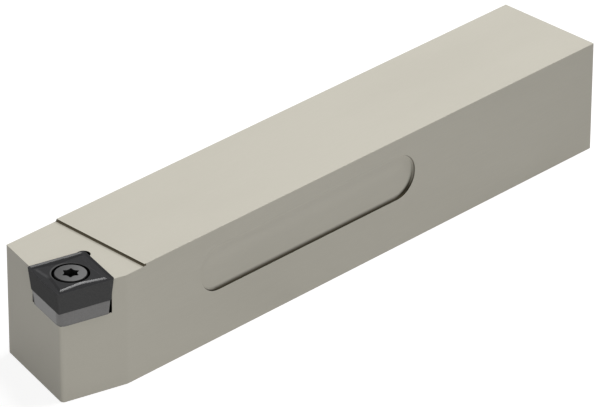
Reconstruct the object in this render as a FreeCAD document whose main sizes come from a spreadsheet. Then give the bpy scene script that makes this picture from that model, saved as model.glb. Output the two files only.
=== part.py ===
import FreeCAD, Part
import math
import os
import Sketcher
import PartDesign

# A right-hand turning tool holder for external turning, with a screw-clamped square insert.
# Millimetres. +X runs along the shank to the cutting nose, +Y points to the side that cuts,
# +Z is up. The origin is the middle of the flat bottom, halfway along and halfway across.

doc = FreeCAD.newDocument("turning_tool_holder")

# Driving dimensions, in millimetres and degrees, each with the piece it belongs to.
SIZES = [
    # Shank and head. The functional sizes run to the sharp corner of the insert's cutting edges.
    ("shank_width", 25.0),
    ("shank_height", 25.0),
    ("functional_length", 150.0),
    ("functional_width", 22.0),
    ("entering_angle", 75.0),
    ("face_setback", 1.1),
    ("nose_round", 0.8),
    ("bend_round", 3.0),
    ("edge_break", 0.06),
    ("head_length", 20.3),
    ("head_drop", 0.5),
    ("step_lip", 0.1),
    # Shallow label recess in the side, left blank.
    ("recess_length", 60.8),
    ("recess_height", 10.0),
    ("recess_depth", 0.5),
    ("recess_lip", 0.1),
    ("recess_to_nose", 65.75),
    ("recess_above_base", 16.0),
    # Insert.
    ("insert_side", 12.7),
    ("insert_thickness", 4.76),
    ("insert_edge_above_shank", 0.06),
    ("insert_clearance_angle", 7.0),
    ("insert_corner_round", 0.8),
    ("land_width", 0.1),
    ("rake_width", 0.4),
    ("groove_depth", 0.2),
    ("plateau_corner_inset", 1.6),
    ("plateau_side_inset", 2.3),
    ("plateau_bend_round", 8.0),
    ("plateau_rise", 0.06),
    ("plateau_wall_angle", 62.0),
    ("insert_bore", 5.5),
    ("sink_mouth", 7.8),
    ("sink_mouth_break", 0.12),
    ("sink_depth", 0.6),
    ("screw_seat_angle", 60.0),
    # Insert screw with a six-lobe socket.
    ("screw_head_diameter", 6.6),
    ("screw_head_below_plateau", 0.02),
    ("screw_thread_diameter", 4.48),
    ("screw_length", 14.9),
    ("screw_point_chamfer", 0.5),
    ("star_across_tips", 3.75),
    ("star_across_flutes", 2.6),
    ("star_tip_round", 0.3),
    ("star_depth", 1.6),
    # Shim.
    ("shim_thickness", 3.18),
    ("shim_margin", 0.08),
    ("shim_nose_round", 1.5),
    ("shim_corner_round", 0.4),
    ("shim_side_angle", 4.5),
    ("shim_bore", 8.2),
    # Hollow shim screw.
    ("shim_screw_head_diameter", 9.0),
    ("shim_screw_head_below_shim", 0.3),
    ("shim_screw_rim", 0.5),
    ("shim_screw_thread_diameter", 7.35),
    ("shim_screw_length", 11.4),
    ("shim_screw_hexagon", 5.0),
    ("shim_screw_hexagon_depth", 3.5),
    ("shim_screw_point_chamfer", 0.6),
    # Insert pocket in the head.
    ("pocket_undercut", 0.35),
    ("relief_hole_diameter", 2.8),
    ("relief_hole_inset", 0.35),
    ("tapped_hole_depth", 10.5),
    ("tapped_hole_mouth_chamfer", 0.4),
    ("drill_point_angle", 118.0),
    # Clearances.
    ("wall_gap", 0.02),
    ("thread_gap", 0.03),
    ("seat_gap", 0.02),
]

sheet = doc.addObject("Spreadsheet::Sheet", "sizes")
for row, (alias, value) in enumerate(SIZES, start=1):
    sheet.set(f"A{row}", alias)
    sheet.set(f"B{row}", str(value))
    sheet.setAlias(f"B{row}", alias)
doc.recompute()

# Lengths and places worked out from the driving dimensions, as expressions on the sheet.
SLEW = "(90 - sizes.entering_angle)"
NOSE_X = "(sizes.functional_length / 2)"
NOSE_Y = "(sizes.functional_width - sizes.shank_width / 2)"
BACK_X = "(-sizes.functional_length / 2)"
HALF_WIDTH = "(sizes.shank_width / 2)"
CORNER_X = f"({NOSE_X} - sizes.face_setback * (cos({SLEW}) + sin({SLEW})))"
CORNER_Y = f"({NOSE_Y} - sizes.face_setback * (cos({SLEW}) - sin({SLEW})))"
NOSE_FOOT_X = f"({CORNER_X} - ({CORNER_Y} + {HALF_WIDTH}) * tan({SLEW}))"
BEND_X = f"({CORNER_X} - ({HALF_WIDTH} - {CORNER_Y}) / tan({SLEW}))"
STEP_X = f"({NOSE_X} - sizes.head_length)"
HEAD_TOP_Z = "(sizes.shank_height - sizes.head_drop)"
CENTRE_X = f"({NOSE_X} - sizes.insert_side / 2 * (cos({SLEW}) + sin({SLEW})))"
CENTRE_Y = f"({NOSE_Y} - sizes.insert_side / 2 * (cos({SLEW}) - sin({SLEW})))"
EDGE_Z = "(sizes.shank_height + sizes.insert_edge_above_shank)"
SHIM_TOP_Z = f"({EDGE_Z} - sizes.insert_thickness)"
FLOOR_Z = f"({SHIM_TOP_Z} - sizes.shim_thickness)"
FLANK_TAN = "tan(sizes.insert_clearance_angle)"
INSERT_TOP_HALF = "(sizes.insert_side / 2)"
INSERT_FOOT_HALF = f"({INSERT_TOP_HALF} - sizes.insert_thickness * {FLANK_TAN})"
SHIM_HALF = f"({INSERT_FOOT_HALF} - sizes.shim_margin)"
SEAT_TAN = "tan(sizes.screw_seat_angle / 2)"


RIGHT_ANGLE = 90.0
FULL_TURN = 360.0
NEAR = 0.01


def number(expression):
    """The present value of an expression on the sheet."""
    return float(sheet.evalExpression(expression))


def plane_of(body, role):
    """The body's own origin plane with this role."""
    return [item for item in body.Origin.OriginFeatures if item.Role == role][0]


def new_body(name):
    body = doc.addObject("PartDesign::Body", name)
    body.Label = name
    return body


def new_sketch(body, name, role="XY_Plane", offset=("0", "0", "0")):
    """A sketch on an origin plane of its body, moved by offset in the plane's own axes."""
    sketch = body.newObject("Sketcher::SketchObject", name)
    sketch.AttachmentSupport = [(plane_of(body, role), "")]
    sketch.MapMode = "FlatFace"
    for axis, expression in zip("xyz", offset):
        sketch.setExpression(f"AttachmentOffset.Base.{axis}", expression)
    return sketch


def place_at_insert(holder, level):
    """Set a body or a sketch's offset at the insert's centre, turned to the insert's sides."""
    is_sketch = holder.TypeId == "Sketcher::SketchObject"
    field = "AttachmentOffset" if is_sketch else "Placement"
    turned = FreeCAD.Rotation(FreeCAD.Vector(0, 0, -1), number(SLEW))
    setattr(holder, field, FreeCAD.Placement(FreeCAD.Vector(0, 0, 0), turned))
    holder.setExpression(f"{field}.Base.x", CENTRE_X)
    holder.setExpression(f"{field}.Base.y", CENTRE_Y)
    holder.setExpression(f"{field}.Base.z", level)
    holder.setExpression(f"{field}.Rotation.Angle", SLEW)


def pin_point(sketch, geometry, end, x, y):
    """Hold one point of a sketch at expressions for its two coordinates."""
    for kind, expression in (("DistanceX", x), ("DistanceY", y)):
        place = Sketcher.Constraint(kind, geometry, end, number(expression))
        index = sketch.addConstraint(place)
        sketch.setExpression(f"Constraints[{index}]", expression)


def pin_radius(sketch, geometry, expression):
    index = sketch.addConstraint(Sketcher.Constraint("Radius", geometry, number(expression)))
    sketch.setExpression(f"Constraints[{index}]", expression)


def add_outline(sketch, corners):
    """A closed outline of straight lines through corners given as pairs of expressions."""
    points = [FreeCAD.Vector(number(x), number(y), 0) for x, y in corners]
    lines = []
    for start, end in zip(points, points[1:] + points[:1]):
        lines.append(sketch.addGeometry(Part.LineSegment(start, end)))
    for line, following in zip(lines, lines[1:] + lines[:1]):
        sketch.addConstraint(Sketcher.Constraint("Coincident", line, 2, following, 1))
    for line, (x, y) in zip(lines, corners):
        pin_point(sketch, line, 1, x, y)
    return lines


def add_round_outline(sketch, centres, radius):
    """A closed outline of equal arcs about given centres, anticlockwise, with tangent lines between."""
    reach = number(radius)
    middles = [FreeCAD.Vector(number(x), number(y), 0) for x, y in centres]
    outward = []
    for middle, following in zip(middles, middles[1:] + middles[:1]):
        along = (following - middle).normalize()
        outward.append(FreeCAD.Vector(along.y, -along.x, 0))
    arcs = []
    for middle, before, after in zip(middles, outward[-1:] + outward[:-1], outward):
        start = math.atan2(before.y, before.x)
        end = math.atan2(after.y, after.x)
        circle = Part.Circle(middle, FreeCAD.Vector(0, 0, 1), reach)
        arcs.append(sketch.addGeometry(Part.ArcOfCircle(circle, start, end)))
    for index, side in enumerate(outward):
        following = (index + 1) % len(middles)
        line = Part.LineSegment(middles[index] + side * reach, middles[following] + side * reach)
        edge = sketch.addGeometry(line)
        sketch.addConstraint(Sketcher.Constraint("Tangent", arcs[index], 2, edge, 1))
        sketch.addConstraint(Sketcher.Constraint("Tangent", edge, 2, arcs[following], 1))
    for arc, (x, y) in zip(arcs, centres):
        pin_point(sketch, arc, 3, x, y)
        pin_radius(sketch, arc, radius)


def add_round_square(sketch, half, corner_round):
    """A square about the sketch's origin, by its half width, with round corners."""
    reach = f"({half} - {corner_round})"
    add_round_outline(sketch, [
        (f"-{reach}", f"-{reach}"),
        (reach, f"-{reach}"),
        (reach, reach),
        (f"-{reach}", reach),
    ], corner_round)


def add_circle(sketch, diameter, x="0", y="0"):
    middle = FreeCAD.Vector(number(x), number(y), 0)
    circle = Part.Circle(middle, FreeCAD.Vector(0, 0, 1), number(diameter) / 2)
    index = sketch.addGeometry(circle)
    pin_point(sketch, index, 3, x, y)
    pin_radius(sketch, index, f"{diameter} / 2")


def pad(body, name, sketch, length, downward=False, taper=None):
    """A pad of the sketch, up along its normal unless downward, with a taper in degrees."""
    feature = body.newObject("PartDesign::Pad", name)
    feature.Profile = sketch
    feature.setExpression("Length", length)
    feature.Reversed = downward
    if taper:
        feature.setExpression("TaperAngle", taper)
    return feature


def pocket(body, name, sketch, length=None, upward=False, taper=None):
    """A pocket against the sketch's normal unless upward, through everything if no length is given."""
    feature = body.newObject("PartDesign::Pocket", name)
    feature.Profile = sketch
    feature.Reversed = upward
    if length:
        feature.setExpression("Length", length)
    else:
        feature.Type = "ThroughAll"
    if taper:
        feature.setExpression("TaperAngle", taper)
    return feature


def turned_about_z(body, kind, name, corners):
    """A revolution or groove about the body's Z axis, of an outline of (radius, height) corners."""
    sketch = new_sketch(body, f"{name}_profile", "XZ_Plane")
    add_outline(sketch, corners)
    feature = body.newObject(kind, name)
    feature.Profile = sketch
    feature.ReferenceAxis = (sketch, ["V_Axis"])
    feature.Angle = FULL_TURN
    return feature


def close_to(low, high, place):
    """True if an edge keeps to one coordinate, from its lowest to its highest point."""
    return abs(low - place) < NEAR and abs(high - place) < NEAR


def dress_edges(body, kind, name, is_meant, size):
    """A fillet or chamfer of the body's edges whose bounding boxes pass the test."""
    doc.recompute()
    base = body.Tip
    names = []
    for index, edge in enumerate(base.Shape.Edges, start=1):
        if is_meant(edge.BoundBox):
            names.append(f"Edge{index}")
    feature = body.newObject(kind, name)
    feature.Base = (base, names)
    feature.setExpression("Size" if kind == "PartDesign::Chamfer" else "Radius", size)


def upright_at(x, y):
    """A test for the vertical edge at expressions x and y."""
    here_x = number(x)
    here_y = number(y)
    return lambda box: close_to(box.XMin, box.XMax, here_x) and close_to(box.YMin, box.YMax, here_y)


# Holder body: one bar of tool steel, milled to a shank and a head that is set over by the
# entering angle, so that the insert's side edge meets the work at that angle.
holder_body = new_body("holder_body")
bar_outline = new_sketch(holder_body, "bar_outline")
add_outline(bar_outline, [
    (BACK_X, f"-{HALF_WIDTH}"),
    (NOSE_FOOT_X, f"-{HALF_WIDTH}"),
    (CORNER_X, CORNER_Y),
    (BEND_X, HALF_WIDTH),
    (BACK_X, HALF_WIDTH),
])
pad(holder_body, "bar", bar_outline, "sizes.shank_height")
nose_corner = upright_at(CORNER_X, CORNER_Y)
dress_edges(holder_body, "PartDesign::Fillet", "nose_corner", nose_corner, "sizes.nose_round")
bend = upright_at(BEND_X, HALF_WIDTH)
dress_edges(holder_body, "PartDesign::Fillet", "bend", bend, "sizes.bend_round")

# The head is milled a little lower than the shank, up to a step square across the bar. The
# cutter's corner leaves a round at the step's foot.
head_side = new_sketch(holder_body, "head_side", "XZ_Plane")
add_outline(head_side, [
    (STEP_X, HEAD_TOP_Z),
    (NOSE_X, HEAD_TOP_Z),
    (NOSE_X, "sizes.shank_height"),
    (STEP_X, "sizes.shank_height"),
])
head_step = pocket(holder_body, "head_step", head_side)
head_step.Midplane = True


def is_step_foot(box):
    """True for the edge across the bar where the step meets the head's top."""
    at_step = close_to(box.XMin, box.XMax, number(STEP_X))
    return at_step and close_to(box.ZMin, box.ZMax, number(HEAD_TOP_Z))


dress_edges(holder_body, "PartDesign::Fillet", "step_foot", is_step_foot, "sizes.head_drop - sizes.step_lip")


def is_broken_edge(box):
    """True for the long edges of the shank, those round its back end and all those at the base."""
    back = number(BACK_X)
    top = number("sizes.shank_height")
    on_back = abs(box.XMax - back) < NEAR
    from_back = abs(box.XMin - back) < NEAR
    on_top_or_base = box.ZMin > top - NEAR or box.ZMax < NEAR
    return on_back or (from_back and on_top_or_base)


dress_edges(holder_body, "PartDesign::Chamfer", "broken_edges", is_broken_edge, "sizes.edge_break")

# Shallow recess with round ends in the cutting side, where such bars are marked. It stays bare,
# with a round at the foot of its wall.
recess_outline = new_sketch(holder_body, "recess_outline", "XZ_Plane", ("0", "0", f"-{HALF_WIDTH}"))
RECESS_REACH = "((sizes.recess_length - sizes.recess_height) / 2)"
RECESS_X = f"({NOSE_X} - sizes.recess_to_nose)"
add_round_outline(recess_outline, [
    (f"({RECESS_X} - {RECESS_REACH})", "sizes.recess_above_base"),
    (f"({RECESS_X} + {RECESS_REACH})", "sizes.recess_above_base"),
], "(sizes.recess_height / 2)")
pocket(holder_body, "recess", recess_outline, "sizes.recess_depth", upward=True)


def is_recess_foot(box):
    """True for the edges where the recess's wall meets its floor."""
    return close_to(box.YMin, box.YMax, number(f"{HALF_WIDTH} - sizes.recess_depth"))


dress_edges(holder_body, "PartDesign::Fillet", "recess_foot", is_recess_foot,
            "sizes.recess_depth - sizes.recess_lip")

# Insert pocket, open at the nose and at the cutting side. Its floor carries the shim. Its two
# inner walls are set back beside the shim, and lean with the insert's flanks above it.
POCKET_REACH = "sizes.insert_side"
UNDERCUT_HALF = f"({INSERT_FOOT_HALF} + sizes.pocket_undercut)"
WALL_HALF = f"({INSERT_FOOT_HALF} + sizes.wall_gap)"


def add_pocket_outline(sketch, wall_half):
    """A square from the pocket's two inner walls to well outside the head."""
    add_outline(sketch, [
        (f"-{wall_half}", f"-{wall_half}"),
        (POCKET_REACH, f"-{wall_half}"),
        (POCKET_REACH, POCKET_REACH),
        (f"-{wall_half}", POCKET_REACH),
    ])


shim_space = new_sketch(holder_body, "shim_space")
place_at_insert(shim_space, FLOOR_Z)
add_pocket_outline(shim_space, UNDERCUT_HALF)
pocket(holder_body, "shim_pocket", shim_space, upward=True)
insert_space = new_sketch(holder_body, "insert_space")
place_at_insert(insert_space, SHIM_TOP_Z)
add_pocket_outline(insert_space, WALL_HALF)
pocket(holder_body, "insert_pocket", insert_space, "sizes.insert_thickness", upward=True,
       taper="sizes.insert_clearance_angle")

# Relief hole down the pocket's inner corner, so that the insert's corner touches nothing.
relief_place = new_sketch(holder_body, "relief_place")
place_at_insert(relief_place, FLOOR_Z)
RELIEF_REACH = f"-({INSERT_TOP_HALF} - sizes.relief_hole_inset)"
add_circle(relief_place, "sizes.relief_hole_diameter", RELIEF_REACH, RELIEF_REACH)
pocket(holder_body, "corner_relief", relief_place, upward=True)

# Tapped hole for the shim screw, as a plain bore at the thread's pitch diameter.
tapping_place = new_sketch(holder_body, "tapping_place")
place_at_insert(tapping_place, FLOOR_Z)
TAPPED_DIAMETER = "(sizes.shim_screw_thread_diameter + 2 * sizes.thread_gap)"
add_circle(tapping_place, TAPPED_DIAMETER)
doc.recompute()
tapped_hole = holder_body.newObject("PartDesign::Hole", "tapped_hole")
tapped_hole.Profile = tapping_place
tapped_hole.setExpression("Diameter", TAPPED_DIAMETER)
tapped_hole.DepthType = "Dimension"
tapped_hole.setExpression("Depth", "sizes.tapped_hole_depth")
tapped_hole.DrillPoint = "Angled"
tapped_hole.setExpression("DrillPointAngle", "sizes.drill_point_angle")
tapped_hole.HoleCutType = "Countersink"
tapped_hole.setExpression("HoleCutDiameter", f"{TAPPED_DIAMETER} + 2 * sizes.tapped_hole_mouth_chamfer")
tapped_hole.HoleCutCountersinkAngle = RIGHT_ANGLE

# Insert: pressed and sintered hard metal, coated dark. Its flanks lean in by the clearance angle.
insert = new_body("insert")
place_at_insert(insert, EDGE_Z)
insert_top = new_sketch(insert, "insert_top")
add_round_square(insert_top, INSERT_TOP_HALF, "sizes.insert_corner_round")
pad(insert, "insert_blank", insert_top, "sizes.insert_thickness", downward=True,
    taper="-sizes.insert_clearance_angle")

# Chip breaker: behind a narrow land the rake face runs down to a groove.
LAND_HALF = f"({INSERT_TOP_HALF} - sizes.land_width)"
GROOVE_HALF = f"({LAND_HALF} - sizes.rake_width)"
LAND_ROUND = "(sizes.insert_corner_round - sizes.land_width)"
land_edge = new_sketch(insert, "land_edge")
add_round_square(land_edge, LAND_HALF, LAND_ROUND)
groove_floor = new_sketch(insert, "groove_floor", offset=("0", "0", "-sizes.groove_depth"))
add_round_square(groove_floor, GROOVE_HALF, LAND_ROUND)
rake = insert.newObject("PartDesign::SubtractiveLoft", "rake")
rake.Profile = land_edge
rake.Sections = [groove_floor]
rake.Ruled = True


def add_plateau_outline(sketch, spread):
    """The plateau's outline: four corners, and sides that bend inwards at their middles."""
    corner = f"({INSERT_TOP_HALF} - sizes.plateau_corner_inset + {spread})"
    side = f"({INSERT_TOP_HALF} - sizes.plateau_side_inset + {spread})"
    add_outline(sketch, [
        (f"-{corner}", f"-{corner}"),
        ("0", f"-{side}"),
        (corner, f"-{corner}"),
        (side, "0"),
        (corner, corner),
        ("0", side),
        (f"-{corner}", corner),
        (f"-{side}", "0"),
    ])


# Behind the groove a steep wall curls the chip, round a plateau a little above the cutting edges.
plateau_top = new_sketch(insert, "plateau_top", offset=("0", "0", "sizes.plateau_rise"))
add_plateau_outline(plateau_top, "0")
plateau_foot = new_sketch(insert, "plateau_foot", offset=("0", "0", "-sizes.groove_depth"))
WALL_HEIGHT = "(sizes.groove_depth + sizes.plateau_rise)"
add_plateau_outline(plateau_foot, f"{WALL_HEIGHT} * tan(sizes.plateau_wall_angle)")
plateau = insert.newObject("PartDesign::AdditiveLoft", "plateau")
plateau.Profile = plateau_top
plateau.Sections = [plateau_foot]
plateau.Ruled = True


def is_plateau_bend(box):
    """True for the four edges down the plateau's wall where its sides bend."""
    on_middle = close_to(box.XMin, box.XMax, 0) or close_to(box.YMin, box.YMax, 0)
    return on_middle and box.ZMin < 0 and box.ZMax > 0


dress_edges(insert, "PartDesign::Fillet", "plateau_bends", is_plateau_bend, "sizes.plateau_bend_round")

# Centre hole of the insert: the screw's head sinks in clear of the wall, on to a cone.
SINK_RADIUS = "(sizes.sink_mouth / 2 - sizes.sink_mouth_break)"
BORE_RADIUS = "(sizes.insert_bore / 2)"
turned_about_z(insert, "PartDesign::Groove", "screw_seat", [
    ("0", "sizes.plateau_rise"),
    ("sizes.sink_mouth / 2", "sizes.plateau_rise"),
    (SINK_RADIUS, "sizes.plateau_rise - sizes.sink_mouth_break"),
    (SINK_RADIUS, "-sizes.sink_depth"),
    (BORE_RADIUS, f"-sizes.sink_depth - ({SINK_RADIUS} - {BORE_RADIUS}) / {SEAT_TAN}"),
    (BORE_RADIUS, "-sizes.insert_thickness"),
    ("0", "-sizes.insert_thickness"),
])

# Insert screw: hardened steel. The cone under its head pulls the insert down on the shim.
insert_screw = new_body("insert_screw")
place_at_insert(insert_screw, EDGE_Z)
HEAD_RADIUS = "(sizes.screw_head_diameter / 2)"
HEAD_TOP = "(sizes.plateau_rise - sizes.screw_head_below_plateau)"
THREAD_RADIUS = "(sizes.screw_thread_diameter / 2)"
CONE_START = f"(({HEAD_RADIUS} + sizes.seat_gap - {SINK_RADIUS}) / {SEAT_TAN} - sizes.sink_depth)"
CONE_END = f"(({THREAD_RADIUS} + sizes.seat_gap - {SINK_RADIUS}) / {SEAT_TAN} - sizes.sink_depth)"
SCREW_END = f"({HEAD_TOP} - sizes.screw_length)"
turned_about_z(insert_screw, "PartDesign::Revolution", "turned_screw", [
    ("0", HEAD_TOP),
    (HEAD_RADIUS, HEAD_TOP),
    (HEAD_RADIUS, CONE_START),
    (THREAD_RADIUS, CONE_END),
    (THREAD_RADIUS, f"{SCREW_END} + sizes.screw_point_chamfer"),
    (f"{THREAD_RADIUS} - sizes.screw_point_chamfer", SCREW_END),
    ("0", SCREW_END),
])


def add_star(sketch):
    """Six round tips joined by hollow flutes, each flute tangent to its two tips."""
    tip_reach = "(sizes.star_across_tips / 2 - sizes.star_tip_round)"
    flute_depth = "(sizes.star_across_flutes / 2 - sizes.star_tip_round)"
    lean = f"(2 * ({tip_reach} * cos(30) - {flute_depth}))"
    flute_reach = f"(({tip_reach} ^ 2 - {flute_depth} ^ 2) / {lean})"
    flute_round = f"({flute_reach} - sizes.star_across_flutes / 2)"
    up = FreeCAD.Vector(0, 0, 1)
    contact = math.radians(number(f"atan({tip_reach} * sin(30) / ({flute_reach} - {tip_reach} * cos(30)))"))
    half_tip = math.radians(30) + contact
    tips = []
    flutes = []
    for step in range(6):
        tip_turn = math.radians(60 * step)
        tip_middle = FreeCAD.Vector(math.cos(tip_turn), math.sin(tip_turn), 0) * number(tip_reach)
        tip_circle = Part.Circle(tip_middle, up, number("sizes.star_tip_round"))
        tip_arc = Part.ArcOfCircle(tip_circle, tip_turn - half_tip, tip_turn + half_tip)
        tips.append(sketch.addGeometry(tip_arc))
        flute_turn = math.radians(60 * step + 30)
        flute_middle = FreeCAD.Vector(math.cos(flute_turn), math.sin(flute_turn), 0) * number(flute_reach)
        flute_circle = Part.Circle(flute_middle, up, number(flute_round))
        inward = flute_turn + math.pi
        flute_arc = Part.ArcOfCircle(flute_circle, inward - contact, inward + contact)
        flutes.append(sketch.addGeometry(flute_arc))
    for step in range(6):
        following = (step + 1) % 6
        sketch.addConstraint(Sketcher.Constraint("Tangent", tips[step], 2, flutes[step], 2))
        sketch.addConstraint(Sketcher.Constraint("Tangent", flutes[step], 1, tips[following], 1))
    for step, tip in enumerate(tips):
        pin_point(sketch, tip, 3, f"{tip_reach} * cos({60 * step})", f"{tip_reach} * sin({60 * step})")
        pin_radius(sketch, tip, "sizes.star_tip_round")
    for flute in flutes:
        pin_radius(sketch, flute, flute_round)


star_outline = new_sketch(insert_screw, "star_outline", offset=("0", "0", HEAD_TOP))
add_star(star_outline)
pocket(insert_screw, "star_socket", star_outline, "sizes.star_depth")

# Shim: a ground seat plate of hard metal between the pocket floor and the insert. Its corner
# under the nose has a larger round than the other three.
shim = new_body("shim")
place_at_insert(shim, SHIM_TOP_Z)
shim_outline = new_sketch(shim, "shim_outline")
add_outline(shim_outline, [
    (f"-{SHIM_HALF}", f"-{SHIM_HALF}"),
    (SHIM_HALF, f"-{SHIM_HALF}"),
    (SHIM_HALF, SHIM_HALF),
    (f"-{SHIM_HALF}", SHIM_HALF),
])
pad(shim, "shim_plate", shim_outline, "sizes.shim_thickness", downward=True,
    taper="-sizes.shim_side_angle")


def is_nose_edge(box):
    """True for the upright edge of the shim under the nose."""
    return box.XMin > 0 and box.YMin > 0


def is_other_upright(box):
    """True for the shim's other upright edges, which stay on one side of both middles."""
    return box.XMin * box.XMax > 0 and box.YMin * box.YMax > 0 and not is_nose_edge(box)


dress_edges(shim, "PartDesign::Fillet", "shim_corners", is_other_upright, "sizes.shim_corner_round")
dress_edges(shim, "PartDesign::Fillet", "shim_nose", is_nose_edge, "sizes.shim_nose_round")
SHIM_HEAD_RADIUS = "(sizes.shim_screw_head_diameter / 2)"
SHIM_SINK_RADIUS = f"({SHIM_HEAD_RADIUS} + sizes.seat_gap)"
SHIM_BORE_RADIUS = "(sizes.shim_bore / 2)"
SHIM_CONE_START = "(-sizes.shim_screw_head_below_shim - sizes.shim_screw_rim)"
turned_about_z(shim, "PartDesign::Groove", "shim_screw_seat", [
    ("0", "0"),
    (SHIM_SINK_RADIUS, "0"),
    (SHIM_SINK_RADIUS, SHIM_CONE_START),
    (SHIM_BORE_RADIUS, f"{SHIM_CONE_START} - ({SHIM_SINK_RADIUS} - {SHIM_BORE_RADIUS})"),
    (SHIM_BORE_RADIUS, "-sizes.shim_thickness"),
    ("0", "-sizes.shim_thickness"),
])

# Shim screw: hollow, with an outer thread in the holder and an inner one for the insert screw.
shim_screw = new_body("shim_screw")
place_at_insert(shim_screw, f"{SHIM_TOP_Z} - sizes.shim_screw_head_below_shim")
SLEEVE_BORE = f"({THREAD_RADIUS} + sizes.thread_gap)"
SLEEVE_RADIUS = "(sizes.shim_screw_thread_diameter / 2)"
SLEEVE_END = "(-sizes.shim_screw_length)"
turned_about_z(shim_screw, "PartDesign::Revolution", "turned_sleeve", [
    (SLEEVE_BORE, "0"),
    (SHIM_HEAD_RADIUS, "0"),
    (SHIM_HEAD_RADIUS, "-sizes.shim_screw_rim"),
    (SLEEVE_RADIUS, f"-sizes.shim_screw_rim - ({SHIM_HEAD_RADIUS} - {SLEEVE_RADIUS})"),
    (SLEEVE_RADIUS, f"{SLEEVE_END} + sizes.shim_screw_point_chamfer"),
    (f"{SLEEVE_RADIUS} - sizes.shim_screw_point_chamfer", SLEEVE_END),
    (SLEEVE_BORE, SLEEVE_END),
])
hexagon_outline = new_sketch(shim_screw, "hexagon_outline")
HEXAGON_REACH = "(sizes.shim_screw_hexagon / 2 / cos(30))"
add_outline(hexagon_outline, [
    (f"{HEXAGON_REACH} * cos({60 * step})", f"{HEXAGON_REACH} * sin({60 * step})") for step in range(6)])
pocket(shim_screw, "hexagon_socket", hexagon_outline, "sizes.shim_screw_hexagon_depth")

doc.recompute()

# Every feature must have built, and every piece must be one valid solid, before any is written.
for feature in doc.Objects:
    if "Invalid" in feature.State or "Error" in feature.State:
        raise ValueError(f"{feature.Label} did not build")
os.makedirs("parts", exist_ok=True)
for piece in (holder_body, insert, insert_screw, shim, shim_screw):
    if piece.Shape.isNull() or not piece.Shape.isValid() or len(piece.Shape.Solids) != 1:
        raise ValueError(f"{piece.Label} is not one valid solid")
    print(piece.Label, round(piece.Shape.Volume, 1), "cubic millimetres")
for piece in (holder_body, insert, insert_screw, shim, shim_screw):
    piece.Shape.exportStep(f"parts/{piece.Label}.step")
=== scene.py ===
import math

import bpy
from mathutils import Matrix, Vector


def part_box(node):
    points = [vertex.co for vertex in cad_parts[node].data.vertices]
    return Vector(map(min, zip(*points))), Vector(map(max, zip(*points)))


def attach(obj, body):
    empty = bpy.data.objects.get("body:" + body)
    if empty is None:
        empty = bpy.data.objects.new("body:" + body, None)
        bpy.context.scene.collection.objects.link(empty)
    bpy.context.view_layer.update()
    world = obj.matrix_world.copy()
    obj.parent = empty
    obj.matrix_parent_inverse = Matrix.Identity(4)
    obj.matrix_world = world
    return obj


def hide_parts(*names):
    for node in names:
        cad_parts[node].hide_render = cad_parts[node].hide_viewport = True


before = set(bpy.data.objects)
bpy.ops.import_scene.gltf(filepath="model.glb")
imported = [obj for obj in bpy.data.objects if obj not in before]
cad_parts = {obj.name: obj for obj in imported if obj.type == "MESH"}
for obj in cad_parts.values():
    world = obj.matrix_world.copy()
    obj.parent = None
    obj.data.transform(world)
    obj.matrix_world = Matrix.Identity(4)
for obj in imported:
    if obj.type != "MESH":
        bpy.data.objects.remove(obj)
bpy.context.scene.view_settings.view_transform = "Standard"
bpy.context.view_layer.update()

# Holder body: one bar of tool steel, milled and ground, then plated in a warm satin nickel.
# The plating is painted darker at the small inside walls, as painted shade: at the step behind the head,
# round the shallow recess in the side and inside the insert's pocket.
MM = 0.001
bar_low, bar_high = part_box("holder_body")
# The cutting corner lies as far from the origin as the shank's end does.
NOSE_X = -bar_low.x / MM
SIDE_Y = bar_high.y / MM
BAR_TOP = bar_high.z / MM
HEAD_LENGTH = 20.3
HEAD_DROP = 0.5
STEP_ROUND = 0.4
STEP_X = NOSE_X - HEAD_LENGTH
HEAD_TOP = BAR_TOP - HEAD_DROP
# The recess has round ends, whose centres lie this far from its middle.
RECESS_REACH = 25.4
RECESS_ROUND = 5.0
RECESS_DEPTH = 0.5
RECESS_TO_NOSE = 65.75
RECESS_X = NOSE_X - RECESS_TO_NOSE
RECESS_Z = 16.0
RECESS_NOSE_END = RECESS_X + RECESS_REACH + RECESS_ROUND
RECESS_FLOOR = SIDE_Y - RECESS_DEPTH


class Wire:
    """A socket in a material's nodes, so that shader maths reads as plain arithmetic."""

    def __init__(self, tree, socket=None):
        self.tree = tree
        self.socket = socket

    def node(self, kind, settings, inputs, out=0):
        """Another node: its settings go in first, then the values or wires of its sockets.

        The wire that comes back starts at the output whose number or name is given.
        """
        made = self.tree.nodes.new(kind)
        for name, value in settings.items():
            setattr(made, name, value)
        for name, value in inputs.items():
            if isinstance(value, Wire):
                self.tree.links.new(value.socket, made.inputs[name])
            else:
                made.inputs[name].default_value = value
        return Wire(self.tree, made.outputs[out] if made.outputs else None)

    def math(self, operation, *values):
        return self.node("ShaderNodeMath", {"operation": operation}, dict(enumerate(values)))

    def __add__(self, other):
        return self.math("ADD", self, other)

    def __radd__(self, other):
        return self.math("ADD", other, self)

    def __sub__(self, other):
        return self.math("SUBTRACT", self, other)

    def __rsub__(self, other):
        return self.math("SUBTRACT", other, self)

    def __mul__(self, other):
        return self.math("MULTIPLY", self, other)

    def __rmul__(self, other):
        return self.math("MULTIPLY", other, self)

    def __pow__(self, other):
        return self.math("POWER", self, other)

    def __abs__(self):
        return self.math("ABSOLUTE", self)


def rises(value, start, end):
    """0 before start, 1 after end and a smooth change between, also where end is the smaller."""
    if start > end:
        return 1 - rises(value, end, start)
    settings = {"interpolation_type": "SMOOTHSTEP"}
    return value.node("ShaderNodeMapRange", settings, {"Value": value, "From Min": start, "From Max": end})


def most(*values):
    """The largest of several values."""
    largest = values[0]
    for value in values[1:]:
        largest = largest.math("MAXIMUM", largest, value)
    return largest


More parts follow.
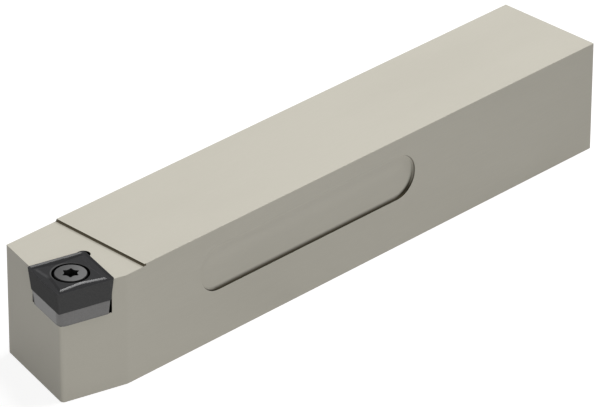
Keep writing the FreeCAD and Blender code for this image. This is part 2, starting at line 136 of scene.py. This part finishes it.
def mixed(share, first, second):
    """A colour between two, which the node takes at its sockets 6 and 7, by a share that varies."""
    inputs = {"Factor": share, 6: first, 7: second}
    return share.node("ShaderNodeMix", {"data_type": "RGBA"}, inputs, out=2)


def colour(red, green, blue):
    """A colour given as it looks on a screen, from 0 to 255, in the linear form that a shader takes."""
    linear = []
    for value in (red, green, blue):
        share = value / 255
        linear.append(share / 12.92 if share <= 0.04045 else ((share + 0.055) / 1.055) ** 2.4)
    return (*linear, 1)


def finish_of(name, **constants):
    """A new material, its Principled shader with the fixed values set, and the place on the piece."""
    material = bpy.data.materials.new(name)
    material.use_nodes = True
    shader = material.node_tree.nodes["Principled BSDF"]
    for socket, value in constants.items():
        shader.inputs[socket.replace("_", " ")].default_value = value
    tree = Wire(material.node_tree)
    place = tree.node("ShaderNodeTexCoord", {}, {}, out="Object")
    return material, shader, place


def feed(shader, socket, wire):
    wire.tree.links.new(wire.socket, shader.inputs[socket])


def in_millimetres(place):
    """The three coordinates of a place on the piece, in millimetres."""
    scaled = place.node("ShaderNodeVectorMath", {"operation": "SCALE"}, {"Vector": place, "Scale": 1 / MM})
    return [scaled.node("ShaderNodeSeparateXYZ", {}, {0: scaled}, out=axis) for axis in range(3)]


def noise(place, along, across, upward, detail=2.0):
    """A cloudy pattern from 0 to 1, with so many features in a millimetre on each axis."""
    scale = Vector((along, across, upward)) / MM
    stretched = place.node("ShaderNodeVectorMath", {"operation": "MULTIPLY"}, {0: place, 1: scale})
    return place.node("ShaderNodeTexNoise", {}, {"Vector": stretched, "Scale": 1.0, "Detail": detail})


def bumped(height, strength, depth):
    """A normal for a surface whose height varies by so many millimetres."""
    inputs = {"Height": height, "Strength": strength, "Distance": depth * MM}
    return height.node("ShaderNodeBump", {}, inputs)


def wear_finish(piece, material):
    """Give a piece one material all over."""
    piece.data.materials.clear()
    piece.data.materials.append(material)


# The insert's centre and the turn of its sides, for the pocket and for all that it holds.
SLEW = math.radians(15)
insert_low, insert_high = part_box("insert")
AXIS = (insert_low + insert_high) / 2
AXIS.z = 0
SHIM_TOP = insert_low.z / MM
POCKET_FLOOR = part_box("shim")[0].z / MM
EDGE_HALF = 6.35
FACE_SETBACK = 1.1
HEAD_SIDE = EDGE_HALF - FACE_SETBACK
RELIEF_REACH = 1.1
RELIEF_EDGE = -EDGE_HALF - RELIEF_REACH


def beside_insert(place):
    """The place measured from the insert's centre, along its two sides and up, in millimetres."""
    x, y, z = in_millimetres(place)
    from_x = x - AXIS.x / MM
    from_y = y - AXIS.y / MM
    along = from_x * math.cos(SLEW) - from_y * math.sin(SLEW)
    across = from_x * math.sin(SLEW) + from_y * math.cos(SLEW)
    return along, across, z


# A hair is a hundredth of a millimetre, and a mask for one face ends within a few hairs of it.
HAIR = 0.01
STEP_FRINGE = 1.0
SHADE_DRIFT = 0.7
plating, shader, place = finish_of("satin_nickel_plating", IOR=1.5, Specular_IOR_Level=0.3)

# The step: painted shade on its wall and the round at its foot, and a faint painted shadow on the head
# before them.
x, y, z = in_millimetres(place)
on_step = rises(abs(x - STEP_X), STEP_ROUND + 2 * HAIR, STEP_ROUND)
on_step = on_step * rises(z, BAR_TOP - HAIR, BAR_TOP - 3 * HAIR)
on_step = on_step * rises(z, HEAD_TOP - HAIR, HEAD_TOP + 3 * HAIR)
fringe = rises(x, STEP_X, STEP_X + 0.1) * rises(x, STEP_X + STEP_FRINGE, STEP_X + 0.3)
on_head_top = rises(z, BAR_TOP, HEAD_TOP + 0.3) * rises(z, HEAD_TOP - 2 * HAIR, HEAD_TOP - HAIR)
step_painted_shade = most(on_step, 0.3 * fringe * on_head_top)


def in_from_rim(x, z):
    """How far a place lies inside the recess's outline."""
    past_end = most(abs(x - RECESS_X) - RECESS_REACH, 0)
    return RECESS_ROUND - (past_end ** 2 + (z - RECESS_Z) ** 2) ** 0.5


# The recess: painted shade on its wall, and on its floor beside the lower wall and the end away from the
# nose.
in_recess = rises(y, SIDE_Y - HAIR, SIDE_Y - 3 * HAIR) * rises(y, RECESS_FLOOR - 0.3, RECESS_FLOOR - 0.1)
in_recess = in_recess * rises(in_from_rim(x, z), -0.2, -0.1)
on_wall = rises(y, RECESS_FLOOR + 2 * HAIR, RECESS_FLOOR + 0.15)
near_wall = rises(in_from_rim(x - SHADE_DRIFT, z - SHADE_DRIFT), 0.35, -0.7)
at_base = rises(z, RECESS_Z, RECESS_Z - 4) * rises(x, RECESS_NOSE_END, RECESS_NOSE_END - 2)
recess_painted_shade = most(on_wall * (0.6 + 0.4 * at_base), near_wall * (0.75 + 0.25 * at_base))
recess_painted_shade = in_recess * recess_painted_shade
# Painted light: the recess's floor is lighter towards its top, to cancel shade there.
recess_painted_light = in_recess * rises(z, RECESS_Z - 0.5, RECESS_Z + 6)

# The pocket: painted shade, near black, over all of its inside, down to its floor, and the relief hole at
# its inner corner.
along, across, z = beside_insert(place)
in_pocket = rises(along, RELIEF_EDGE - 0.1, RELIEF_EDGE) * rises(across, RELIEF_EDGE - 0.1, RELIEF_EDGE)
under_top = rises(z, HEAD_TOP - HAIR, HEAD_TOP - 5 * HAIR) * rises(z, POCKET_FLOOR - 0.1, POCKET_FLOOR)
behind_nose_face = rises(along, HEAD_SIDE - HAIR, HEAD_SIDE - 5 * HAIR)
behind_side_face = rises(across, HEAD_SIDE - 10 * HAIR, HEAD_SIDE - 16 * HAIR)
pocket_painted_shade = in_pocket * under_top * behind_nose_face * behind_side_face

grain = noise(place, 0.25, 5, 5, detail=4.0)
cloud = noise(place, 0.02, 0.06, 0.06)
tone = mixed(rises(cloud, 0.35, 0.65), colour(207, 203, 190), colour(204, 200, 187))
tone = mixed((grain - 0.5) * 0.25 + 0.1, tone, colour(187, 183, 170))
# Painted light lifts the recess's upper floor; painted shade darkens the step, the recess and the pocket.
tone = mixed(0.25 * recess_painted_light, tone, colour(255, 250, 236))
tone = mixed(step_painted_shade, tone, colour(86, 80, 66))
tone = mixed(recess_painted_shade, tone, colour(50, 46, 36))
feed(shader, "Base Color", mixed(pocket_painted_shade, tone, colour(12, 12, 11)))
feed(shader, "Roughness", 0.5 + (grain - 0.5) * 0.12)
feed(shader, "Metallic", 0.12 + 0.88 * most(step_painted_shade, recess_painted_shade, pocket_painted_shade))
feed(shader, "Normal", bumped(grain, 0.1, 0.02))
wear_finish(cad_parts["holder_body"], plating)

# Shim: a plate of hard metal, ground plain grey all round, that seats the insert. The shim screw holds it
# down on the pocket's floor. It is painted darker at its foot and dark where its far edge stands in the
# pocket's gap, both painted shade.
INSERT_THICKNESS = 4.76
FLANK_LEAN = math.tan(math.radians(7))
SHIM_LEAN = math.tan(math.radians(4.5))
SHIM_MARGIN = 0.08
SHIM_TOP_HALF = EDGE_HALF - INSERT_THICKNESS * FLANK_LEAN - SHIM_MARGIN
SHIM_FOOT_HALF = SHIM_TOP_HALF - (SHIM_TOP - POCKET_FLOOR) * SHIM_LEAN
shim_metal, shader, place = finish_of("ground_hard_metal", IOR=1.5)
along, across, z = beside_insert(place)
above_floor = z - POCKET_FLOOR
foot_painted_shade = rises(above_floor, 0.35, 0.1)
to_far_side = -1 * across - above_floor * SHIM_LEAN
gap_painted_shade = rises(to_far_side, SHIM_FOOT_HALF - 0.85, SHIM_FOOT_HALF - 0.7) * rises(above_floor, 2.6, 1.8)
grain = noise(place, 3, 3, 3, detail=4.0)
tone = mixed(rises(grain, 0.3, 0.7), colour(118, 117, 116), colour(126, 125, 124))
tone = mixed(0.6 * foot_painted_shade, tone, colour(104, 103, 102))
feed(shader, "Base Color", mixed(gap_painted_shade, tone, colour(30, 30, 29)))
feed(shader, "Roughness", 0.4 + (grain - 0.5) * 0.1)
feed(shader, "Metallic", 0.15 + 0.1 * grain)
wear_finish(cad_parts["shim"], shim_metal)

# Shim screw: a hollow screw of blackened steel. It is turned, threaded outside for the holder
# and inside for the insert screw, and has a hexagon socket for its key in the same bore.
TURN = 2 * math.pi
TURNED_STEPS = 64
THREAD_STEPS = 48
MERGE_WITHIN = 0.001 * MM
SMOOTH_WITHIN = math.radians(30)
# A metric thread's depth and the flat of its crest, as shares of its pitch, and its flanks' slope.
THREAD_DEPTH = 0.6134
CREST_FLAT = 1 / 8
THREAD_SLOPE = math.tan(math.radians(30))
THREAD_PLAY = 0.04
POINT_BEVEL = 0.5
# The crests, heads and necks of the two screws are given by their radii.
SLEEVE_PITCH = 1.0
SLEEVE_CREST = 3.97
SLEEVE_HEAD = 4.5
SLEEVE_RIM = 0.5
SLEEVE_NECK = SLEEVE_CREST - 0.3
HEXAGON_ACROSS = 5.0
HEXAGON_DEPTH = 3.5
SCREW_PITCH = 0.8
SCREW_CREST = 2.48
sleeve_low, sleeve_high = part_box("shim_screw")
SLEEVE_TOP = sleeve_high.z / MM
SLEEVE_END = sleeve_low.z / MM
SLEEVE_NECK_END = SLEEVE_TOP - 3.2
SLEEVE_RUNOUT = SLEEVE_TOP - 2.3
TAP_PAST_END = 1.0
screw_low, screw_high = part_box("insert_screw")
SCREW_TOP = screw_high.z / MM
SCREW_END = screw_low.z / MM


def drawn_line(name, corners):
    """A line through (radius, height) corners beside the axis, left selected in edit mode."""
    bpy.ops.object.select_all(action="DESELECT")
    bpy.ops.mesh.primitive_plane_add(size=MM, location=AXIS)
    line = bpy.context.object
    line.name = name
    bpy.ops.object.mode_set(mode="EDIT")
    bpy.ops.mesh.select_mode(type="VERT")
    bpy.ops.mesh.merge(type="CENTER")
    points = [Vector((radius, 0, height)) * MM for radius, height in corners]
    bpy.ops.transform.translate(value=points[0])
    for point, following in zip(points, points[1:]):
        bpy.ops.mesh.extrude_region_move(TRANSFORM_OT_translate={"value": following - point})
    bpy.ops.mesh.select_all(action="SELECT")
    return line


def close_skin():
    """In edit mode, merge what the last operator doubled and turn all faces outwards."""
    bpy.ops.mesh.select_all(action="SELECT")
    bpy.ops.mesh.remove_doubles(threshold=MERGE_WITHIN)
    bpy.ops.mesh.normals_make_consistent(inside=False)
    bpy.ops.object.mode_set(mode="OBJECT")


def turned(name, corners):
    """A piece turned about the axis, from its outline of (radius, height) corners."""
    blank = drawn_line(name, corners)
    bpy.ops.mesh.spin(steps=TURNED_STEPS, angle=TURN, center=AXIS, axis=(0, 0, 1))
    close_skin()
    return blank


def threaded_rod(name, crest, pitch, start, end, phase):
    """A rod with a right-hand metric thread whose root crosses the X side at level phase."""
    depth = THREAD_DEPTH * pitch
    flank = depth * THREAD_SLOPE
    half_root = (pitch - pitch * CREST_FLAT - 2 * flank) / 2
    first = phase - math.ceil((phase - start) / pitch + 1) * pitch
    rod = drawn_line(name, [
        (crest - depth, first),
        (crest - depth, first + half_root),
        (crest, first + half_root + flank),
        (crest, first + pitch - half_root - flank),
        (crest - depth, first + pitch - half_root),
        (crest - depth, first + pitch),
    ])
    bpy.ops.object.mode_set(mode="OBJECT")
    helix = rod.modifiers.new("helix", "SCREW")
    helix.screw_offset = pitch * MM
    helix.iterations = math.ceil((end - first) / pitch) + 1
    helix.steps = THREAD_STEPS
    helix.render_steps = THREAD_STEPS
    bpy.ops.object.modifier_apply(modifier=helix.name)
    bpy.ops.object.mode_set(mode="EDIT")
    bpy.ops.mesh.select_all(action="SELECT")
    bpy.ops.mesh.remove_doubles(threshold=MERGE_WITHIN)
    for level, at_lower_end in ((start, True), (end, False)):
        bpy.ops.mesh.select_all(action="SELECT")
        cut = AXIS + Vector((0, 0, level * MM))
        bpy.ops.mesh.bisect(plane_co=cut, plane_no=(0, 0, 1), use_fill=True, clear_inner=at_lower_end,
                            clear_outer=not at_lower_end, threshold=MERGE_WITHIN / 10)
    close_skin()
    return rod


def shaped_by(piece, operation, tool):
    """Join the piece with a tool, cut it by the tool or keep what is inside it, and use the tool up."""
    step = piece.modifiers.new("shaping", "BOOLEAN")
    step.operation = operation
    step.object = tool
    bpy.ops.object.select_all(action="DESELECT")
    bpy.context.view_layer.objects.active = piece
    bpy.ops.object.modifier_apply(modifier=step.name)
    bpy.data.objects.remove(tool)


def bevel_thread(thread, crest, top, top_bevel, end):
    """Bevel both ends of a thread: where it runs out under the head, and at the screw's point."""
    clear = 0.1
    envelope = turned("thread_envelope", [
        (0, top + clear),
        (crest - top_bevel - clear, top + clear),
        (crest + clear, top - top_bevel - clear),
        (crest + clear, end + POINT_BEVEL + clear),
        (crest - POINT_BEVEL - clear, end - clear),
        (0, end - clear),
    ])
    shaped_by(thread, "INTERSECT", envelope)


def socket_tool(name, level, depth, corner_reaches, corner_round=0):
    """A prism to cut a socket down from a level, with the first corner along the insert's side."""
    bpy.ops.object.select_all(action="DESELECT")
    top = AXIS + Vector((0, 0, (level + depth) * MM))
    turn = (0, 0, -SLEW - TURN / 4)
    bpy.ops.mesh.primitive_circle_add(vertices=len(corner_reaches), radius=MM, location=top, rotation=turn)
    tool = bpy.context.object
    tool.name = name
    for vertex, reach in zip(tool.data.vertices, corner_reaches):
        vertex.co *= reach
    bpy.ops.object.mode_set(mode="EDIT")
    bpy.ops.mesh.select_mode(type="VERT")
    bpy.ops.mesh.select_all(action="SELECT")
    if corner_round:
        bpy.ops.mesh.bevel(offset=corner_round * MM, segments=4, affect="VERTICES")
        bpy.ops.mesh.select_all(action="SELECT")
    bpy.ops.mesh.edge_face_add()
    bpy.ops.mesh.extrude_region_move(TRANSFORM_OT_translate={"value": (0, 0, -2 * depth * MM)})
    close_skin()
    return tool


def finish_piece(piece, body, node, material):
    """Set the piece's place in its mesh, shade it, and let it stand for its plain CAD solid."""
    bpy.ops.object.select_all(action="DESELECT")
    piece.select_set(True)
    bpy.context.view_layer.objects.active = piece
    bpy.ops.object.transform_apply(location=True, rotation=True, scale=True)
    bpy.ops.object.shade_smooth_by_angle(angle=SMOOTH_WITHIN)
    wear_finish(piece, material)
    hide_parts(node)
    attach(piece, body)


sleeve = turned("hollow_shim_screw", [
    (0, SLEEVE_TOP),
    (SLEEVE_HEAD, SLEEVE_TOP),
    (SLEEVE_HEAD, SLEEVE_TOP - SLEEVE_RIM),
    (SLEEVE_NECK, SLEEVE_TOP - SLEEVE_RIM - (SLEEVE_HEAD - SLEEVE_NECK)),
    (SLEEVE_NECK, SLEEVE_NECK_END),
    (0, SLEEVE_NECK_END),
])
thread_top = SLEEVE_RUNOUT - POINT_BEVEL
thread = threaded_rod("sleeve_thread", SLEEVE_CREST, SLEEVE_PITCH, SLEEVE_END, thread_top, SLEEVE_END)
bevel_thread(thread, SLEEVE_CREST, SLEEVE_RUNOUT, POINT_BEVEL, SLEEVE_END)
shaped_by(sleeve, "UNION", thread)
# The tap's thread starts at the insert screw's point, so that the two threads mesh.
tap = threaded_rod("tap", SCREW_CREST + THREAD_PLAY, SCREW_PITCH, SLEEVE_END - TAP_PAST_END,
                   SLEEVE_TOP + TAP_PAST_END, SCREW_END)
shaped_by(sleeve, "DIFFERENCE", tap)
hexagon_reach = HEXAGON_ACROSS / 2 / math.cos(TURN / 12)
hexagon = socket_tool("hexagon", SLEEVE_TOP, HEXAGON_DEPTH, [hexagon_reach] * 6)
shaped_by(sleeve, "DIFFERENCE", hexagon)
blackened, shader, place = finish_of("blackened_steel", IOR=1.5)
grain = noise(place, 3, 3, 3, detail=4.0)
feed(shader, "Base Color", mixed(rises(grain, 0.3, 0.7), colour(72, 72, 72), colour(80, 80, 80)))
feed(shader, "Roughness", 0.42 + (grain - 0.5) * 0.1)
finish_piece(sleeve, "holder", "shim_screw", blackened)

# Insert: hard metal, pressed and sintered, under a dark coating. Its flanks are matt. The chip breaker is
# polished along both sides. The hole's mouth and a streak behind the nose are painted paler as highlights,
# and the groove and the hole are painted darker as shade.
PLATEAU_RISE = 0.06
GROOVE_DEPTH = 0.2
CORNER_ROUND = 0.8
HOLE_MOUTH = 3.9
MOUTH_BREAK = 0.12
PLATEAU_TOP = insert_high.z / MM
EDGE_LEVEL = PLATEAU_TOP - PLATEAU_RISE
GROOVE_LEVEL = EDGE_LEVEL - GROOVE_DEPTH
CORNER_MIDDLE = EDGE_HALF - CORNER_ROUND
coating, shader, place = finish_of("dark_coating", IOR=1.5, Specular_IOR_Level=0.005, Coat_IOR=1.6,
                                   Coat_Roughness=0.2)
along, across, z = beside_insert(place)
from_axis = (along ** 2 + across ** 2) ** 0.5
# How far in from the flank a place lies, counted only as far in as the corners' round.
past_along = most(abs(along) - CORNER_MIDDLE, 0)
past_across = most(abs(across) - CORNER_MIDDLE, 0)
from_flank = CORNER_ROUND - (past_along ** 2 + past_across ** 2) ** 0.5 - (EDGE_LEVEL - z) * FLANK_LEAN

# The chip breaker: inside a narrow land a rake runs down to a groove, and a wall rises from the
# groove to the plateau round the hole.
on_top = rises(from_flank, 0.004, 0.012) * rises(z, GROOVE_LEVEL - 0.1, GROOVE_LEVEL - 0.05)
on_top = on_top * rises(from_axis, HOLE_MOUTH - HAIR, HOLE_MOUTH)
in_groove = on_top * rises(z, GROOVE_LEVEL + 2 * HAIR, GROOVE_LEVEL + HAIR)
below_plateau = on_top * rises(z, PLATEAU_TOP - HAIR / 2, PLATEAU_TOP - 2 * HAIR)
on_slopes = below_plateau * (1 - in_groove)
on_rake = on_slopes * rises(from_flank, 0.6, 0.55)
up_wall = on_slopes * rises(from_flank, 0.75, 0.85)

# Its two sides and its two ends, which meet on the diagonals.
on_sides = rises(abs(across) - abs(along), -0.3, 0.1)
on_ends = 1 - on_sides
near_half = rises(across, -0.1, 0.1)
far_half = 1 - near_half
polished = on_sides * most(0.75 * up_wall * near_half, 0.16 * on_rake * far_half)
past_far_rake = below_plateau * on_sides * far_half * rises(from_flank, 0.65, 1)
nose_rake = on_rake * on_ends * rises(along, 0, 1)
back_end = below_plateau * on_ends * rises(along, 0, -1)

# Painted highlights: a slanting streak across the wall behind the nose, and the bevel of the hole's mouth.
STREAK_PLACE = 4.33
STREAK_SLANT = 0.15
STREAK_HALF = 0.42
from_streak = abs(along + STREAK_SLANT * across - STREAK_PLACE)
painted_streak_highlight = on_top * rises(from_streak, STREAK_HALF, 0) * rises(across, -5.6, -4.2) * rises(across, 0, -1.5)
on_mouth = rises(z, PLATEAU_TOP - MOUTH_BREAK, PLATEAU_TOP - 0.1)
in_mouth = on_mouth * rises(from_axis, HOLE_MOUTH + HAIR, HOLE_MOUTH)
painted_mouth_highlight = on_mouth * rises(from_axis, HOLE_MOUTH + 0.2, HOLE_MOUTH + 0.1) * rises(along - across, 2, 5)
below_mouth = rises(z, PLATEAU_TOP - 0.1, PLATEAU_TOP - MOUTH_BREAK)
in_hole = below_mouth * rises(from_axis, HOLE_MOUTH, HOLE_MOUTH - 2 * HAIR)

grain = noise(place, 4, 4, 4, detail=4.0)
tone = mixed(on_top, colour(95, 95, 95), colour(61, 61, 62))
tone = mixed(0.3 * rises(grain, 0.3, 0.7), tone, colour(70, 70, 71))
# Painted shade: the groove's floor, the foot of the far rake and the rake behind the nose are darker. The
# back end is a shade lighter.
tone = mixed(in_groove * (0.1 + 0.3 * on_sides), tone, colour(47, 47, 48))
tone = mixed(past_far_rake, tone, colour(42, 42, 43))
tone = mixed(0.5 * nose_rake, tone, colour(47, 47, 48))
tone = mixed(back_end, tone, colour(63, 63, 64))
# Painted highlight: the streak behind the nose.
tone = mixed(painted_streak_highlight, tone, colour(92, 92, 93))
# Painted highlight: the bevel of the hole's mouth is paler, most on one side.
tone = mixed(in_mouth, tone, colour(84, 84, 84))
tone = mixed(0.6 * painted_mouth_highlight, tone, colour(104, 104, 104))
# Painted shade: the hole below its mouth is near black.
feed(shader, "Base Color", mixed(in_hole, tone, colour(8, 8, 8)))
feed(shader, "Roughness", 0.42 + (grain - 0.5) * 0.1)
feed(shader, "Coat Weight", polished)
wear_finish(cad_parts["insert"], coating)

# Insert screw: blackened steel with a rolled thread and a six-lobe socket pressed into its head. The cone
# under the head pulls the insert down on the shim. The flat of the head has a painted sheen, lighter
# towards one side, inside a rim painted dark as shade.
HEAD_RADIUS = 3.3
HEAD_RIM = 0.18
SCREW_NECK = 2.24
CONE_DEPTH = 3.27
CONE_SLOPE = math.tan(math.radians(30))
CONE_FOOT = SCREW_TOP - CONE_DEPTH
CONE_TOP = CONE_FOOT + (HEAD_RADIUS - SCREW_NECK) / CONE_SLOPE
THREAD_TOP = SHIM_TOP
SCREW_NECK_END = THREAD_TOP - 0.6
RUNOUT_BEVEL = 0.44
STAR_DEPTH = 1.6
STAR_REACHES = (1.94, 1.2)
STAR_ROUND = 0.36
STAR_OUTSIDE = 2.0
SOCKET_FLOOR = SCREW_TOP - STAR_DEPTH
screw = turned("insert_screw_with_thread", [
    (0, SCREW_TOP),
    (HEAD_RADIUS - HEAD_RIM, SCREW_TOP),
    (HEAD_RADIUS, SCREW_TOP - HEAD_RIM),
    (HEAD_RADIUS, CONE_TOP),
    (SCREW_NECK, CONE_FOOT),
    (SCREW_NECK, SCREW_NECK_END),
    (0, SCREW_NECK_END),
])
star = socket_tool("star", SCREW_TOP, STAR_DEPTH, STAR_REACHES * 6, STAR_ROUND)
shaped_by(screw, "DIFFERENCE", star)
thread = threaded_rod("screw_thread", SCREW_CREST, SCREW_PITCH, SCREW_END, THREAD_TOP, SCREW_END)
bevel_thread(thread, SCREW_CREST, THREAD_TOP, RUNOUT_BEVEL, SCREW_END)
shaped_by(screw, "UNION", thread)
screw_finish, shader, place = finish_of("black_screw_painted_sheen", IOR=1.5, Specular_IOR_Level=0.1)
along, across, z = beside_insert(place)
from_axis = (along ** 2 + across ** 2) ** 0.5
in_socket = rises(from_axis, STAR_OUTSIDE, STAR_OUTSIDE - 0.05)
in_socket = in_socket * rises(z, SCREW_TOP - HAIR, SCREW_TOP - 3 * HAIR)
in_socket = in_socket * rises(z, SOCKET_FLOOR - 0.4, SOCKET_FLOOR - 0.2)
on_rim = rises(HEAD_RADIUS - from_axis, HEAD_RIM - 2 * HAIR, HEAD_RIM - 4 * HAIR)
grain = noise(place, 3, 3, 3, detail=4.0)
# Painted sheen: the flat of the head grows lighter towards one side.
tone = mixed(rises(across - along, -4, 4), colour(89, 89, 89), colour(123, 123, 123))
tone = mixed(0.3 * rises(grain, 0.3, 0.7), tone, colour(102, 102, 102))
# Painted shade: dark in the socket, and near black on the rim and the head's side.
tone = mixed(in_socket, tone, colour(36, 36, 36))
feed(shader, "Base Color", mixed(on_rim, tone, colour(12, 12, 12)))
feed(shader, "Roughness", 0.42 + (grain - 0.5) * 0.1)
finish_piece(screw, "insert_screw", "insert_screw", screw_finish)

# Studio: a pale floor under the tool, a soft lamp nearly overhead and a weaker one from the
# side that cuts. Floor and sky look white to the camera and in reflections, and light the
# tool much less. The floor keeps the tool's shadow.
FLOOR_SIZE = 6.0
FLOOR_TONE = 0.3
FLOOR_GLOW = 0.85
SKY = 0.25
bpy.ops.object.select_all(action="DESELECT")
bpy.ops.mesh.primitive_plane_add(size=FLOOR_SIZE, location=(0, 0, 0))
floor = bpy.context.object
floor.name = "studio_floor"
floor_paint = bpy.data.materials.new("pale_floor")
floor_paint.use_nodes = True
floor_paint.node_tree.nodes.clear()
tree = Wire(floor_paint.node_tree)


def seen_straight(tree):
    """1 for rays from the camera, mirrored or let through, and 0 for scattered light."""
    rays = ("Is Camera Ray", "Is Glossy Ray", "Is Transmission Ray")
    return most(*[tree.node("ShaderNodeLightPath", {}, {}, out=ray) for ray in rays])


floor_colour = (FLOOR_TONE, FLOOR_TONE, FLOOR_TONE, 1)
matt = tree.node("ShaderNodeBsdfDiffuse", {}, {"Color": floor_colour})
glow = tree.node("ShaderNodeEmission", {}, {"Strength": seen_straight(tree) * FLOOR_GLOW})
both = tree.node("ShaderNodeAddShader", {}, {0: matt, 1: glow})
tree.node("ShaderNodeOutputMaterial", {}, {"Surface": both})
floor.data.materials.append(floor_paint)

world = bpy.data.worlds.new("studio")
bpy.context.scene.world = world
world.use_nodes = True
world.node_tree.nodes.clear()
tree = Wire(world.node_tree)
sky = tree.node("ShaderNodeBackground", {}, {"Strength": SKY + (1 - SKY) * seen_straight(tree)})
tree.node("ShaderNodeOutputWorld", {}, {"Surface": sky})


def softbox(name, direction, reach, width, power):
    """A square lamp that looks at the insert from a direction."""
    aim = Vector((AXIS.x, AXIS.y, BAR_TOP * MM))
    side = Vector(direction).normalized()
    bpy.ops.object.light_add(type="AREA", location=aim + side * reach)
    lamp = bpy.context.object
    lamp.name = name
    lamp.rotation_euler = side.to_track_quat("Z", "Y").to_euler()
    lamp.data.shape = "SQUARE"
    lamp.data.size = width
    lamp.data.energy = power
    lamp.visible_camera = False


softbox("overhead_softbox", (-0.38, 0.08, 0.92), reach=0.9, width=0.36, power=5.9)
softbox("side_softbox", (0.49, 0.83, 0.2), reach=0.36, width=0.25, power=0.37)

# Camera, at the photograph's viewing angle: above the nose, on the side that cuts.
CAMERA_PLACE = Vector((652.66, 645.59, 530.84)) * MM
CAMERA_TURN = (60.505, -0.164, 134.754)
CAMERA_LENS = 312.61
bpy.ops.object.camera_add(location=CAMERA_PLACE, rotation=[math.radians(turn) for turn in CAMERA_TURN])
camera = bpy.context.object
camera.name = "camera"
camera.data.lens = CAMERA_LENS
camera.data.clip_start = 0.01
bpy.context.scene.camera = camera
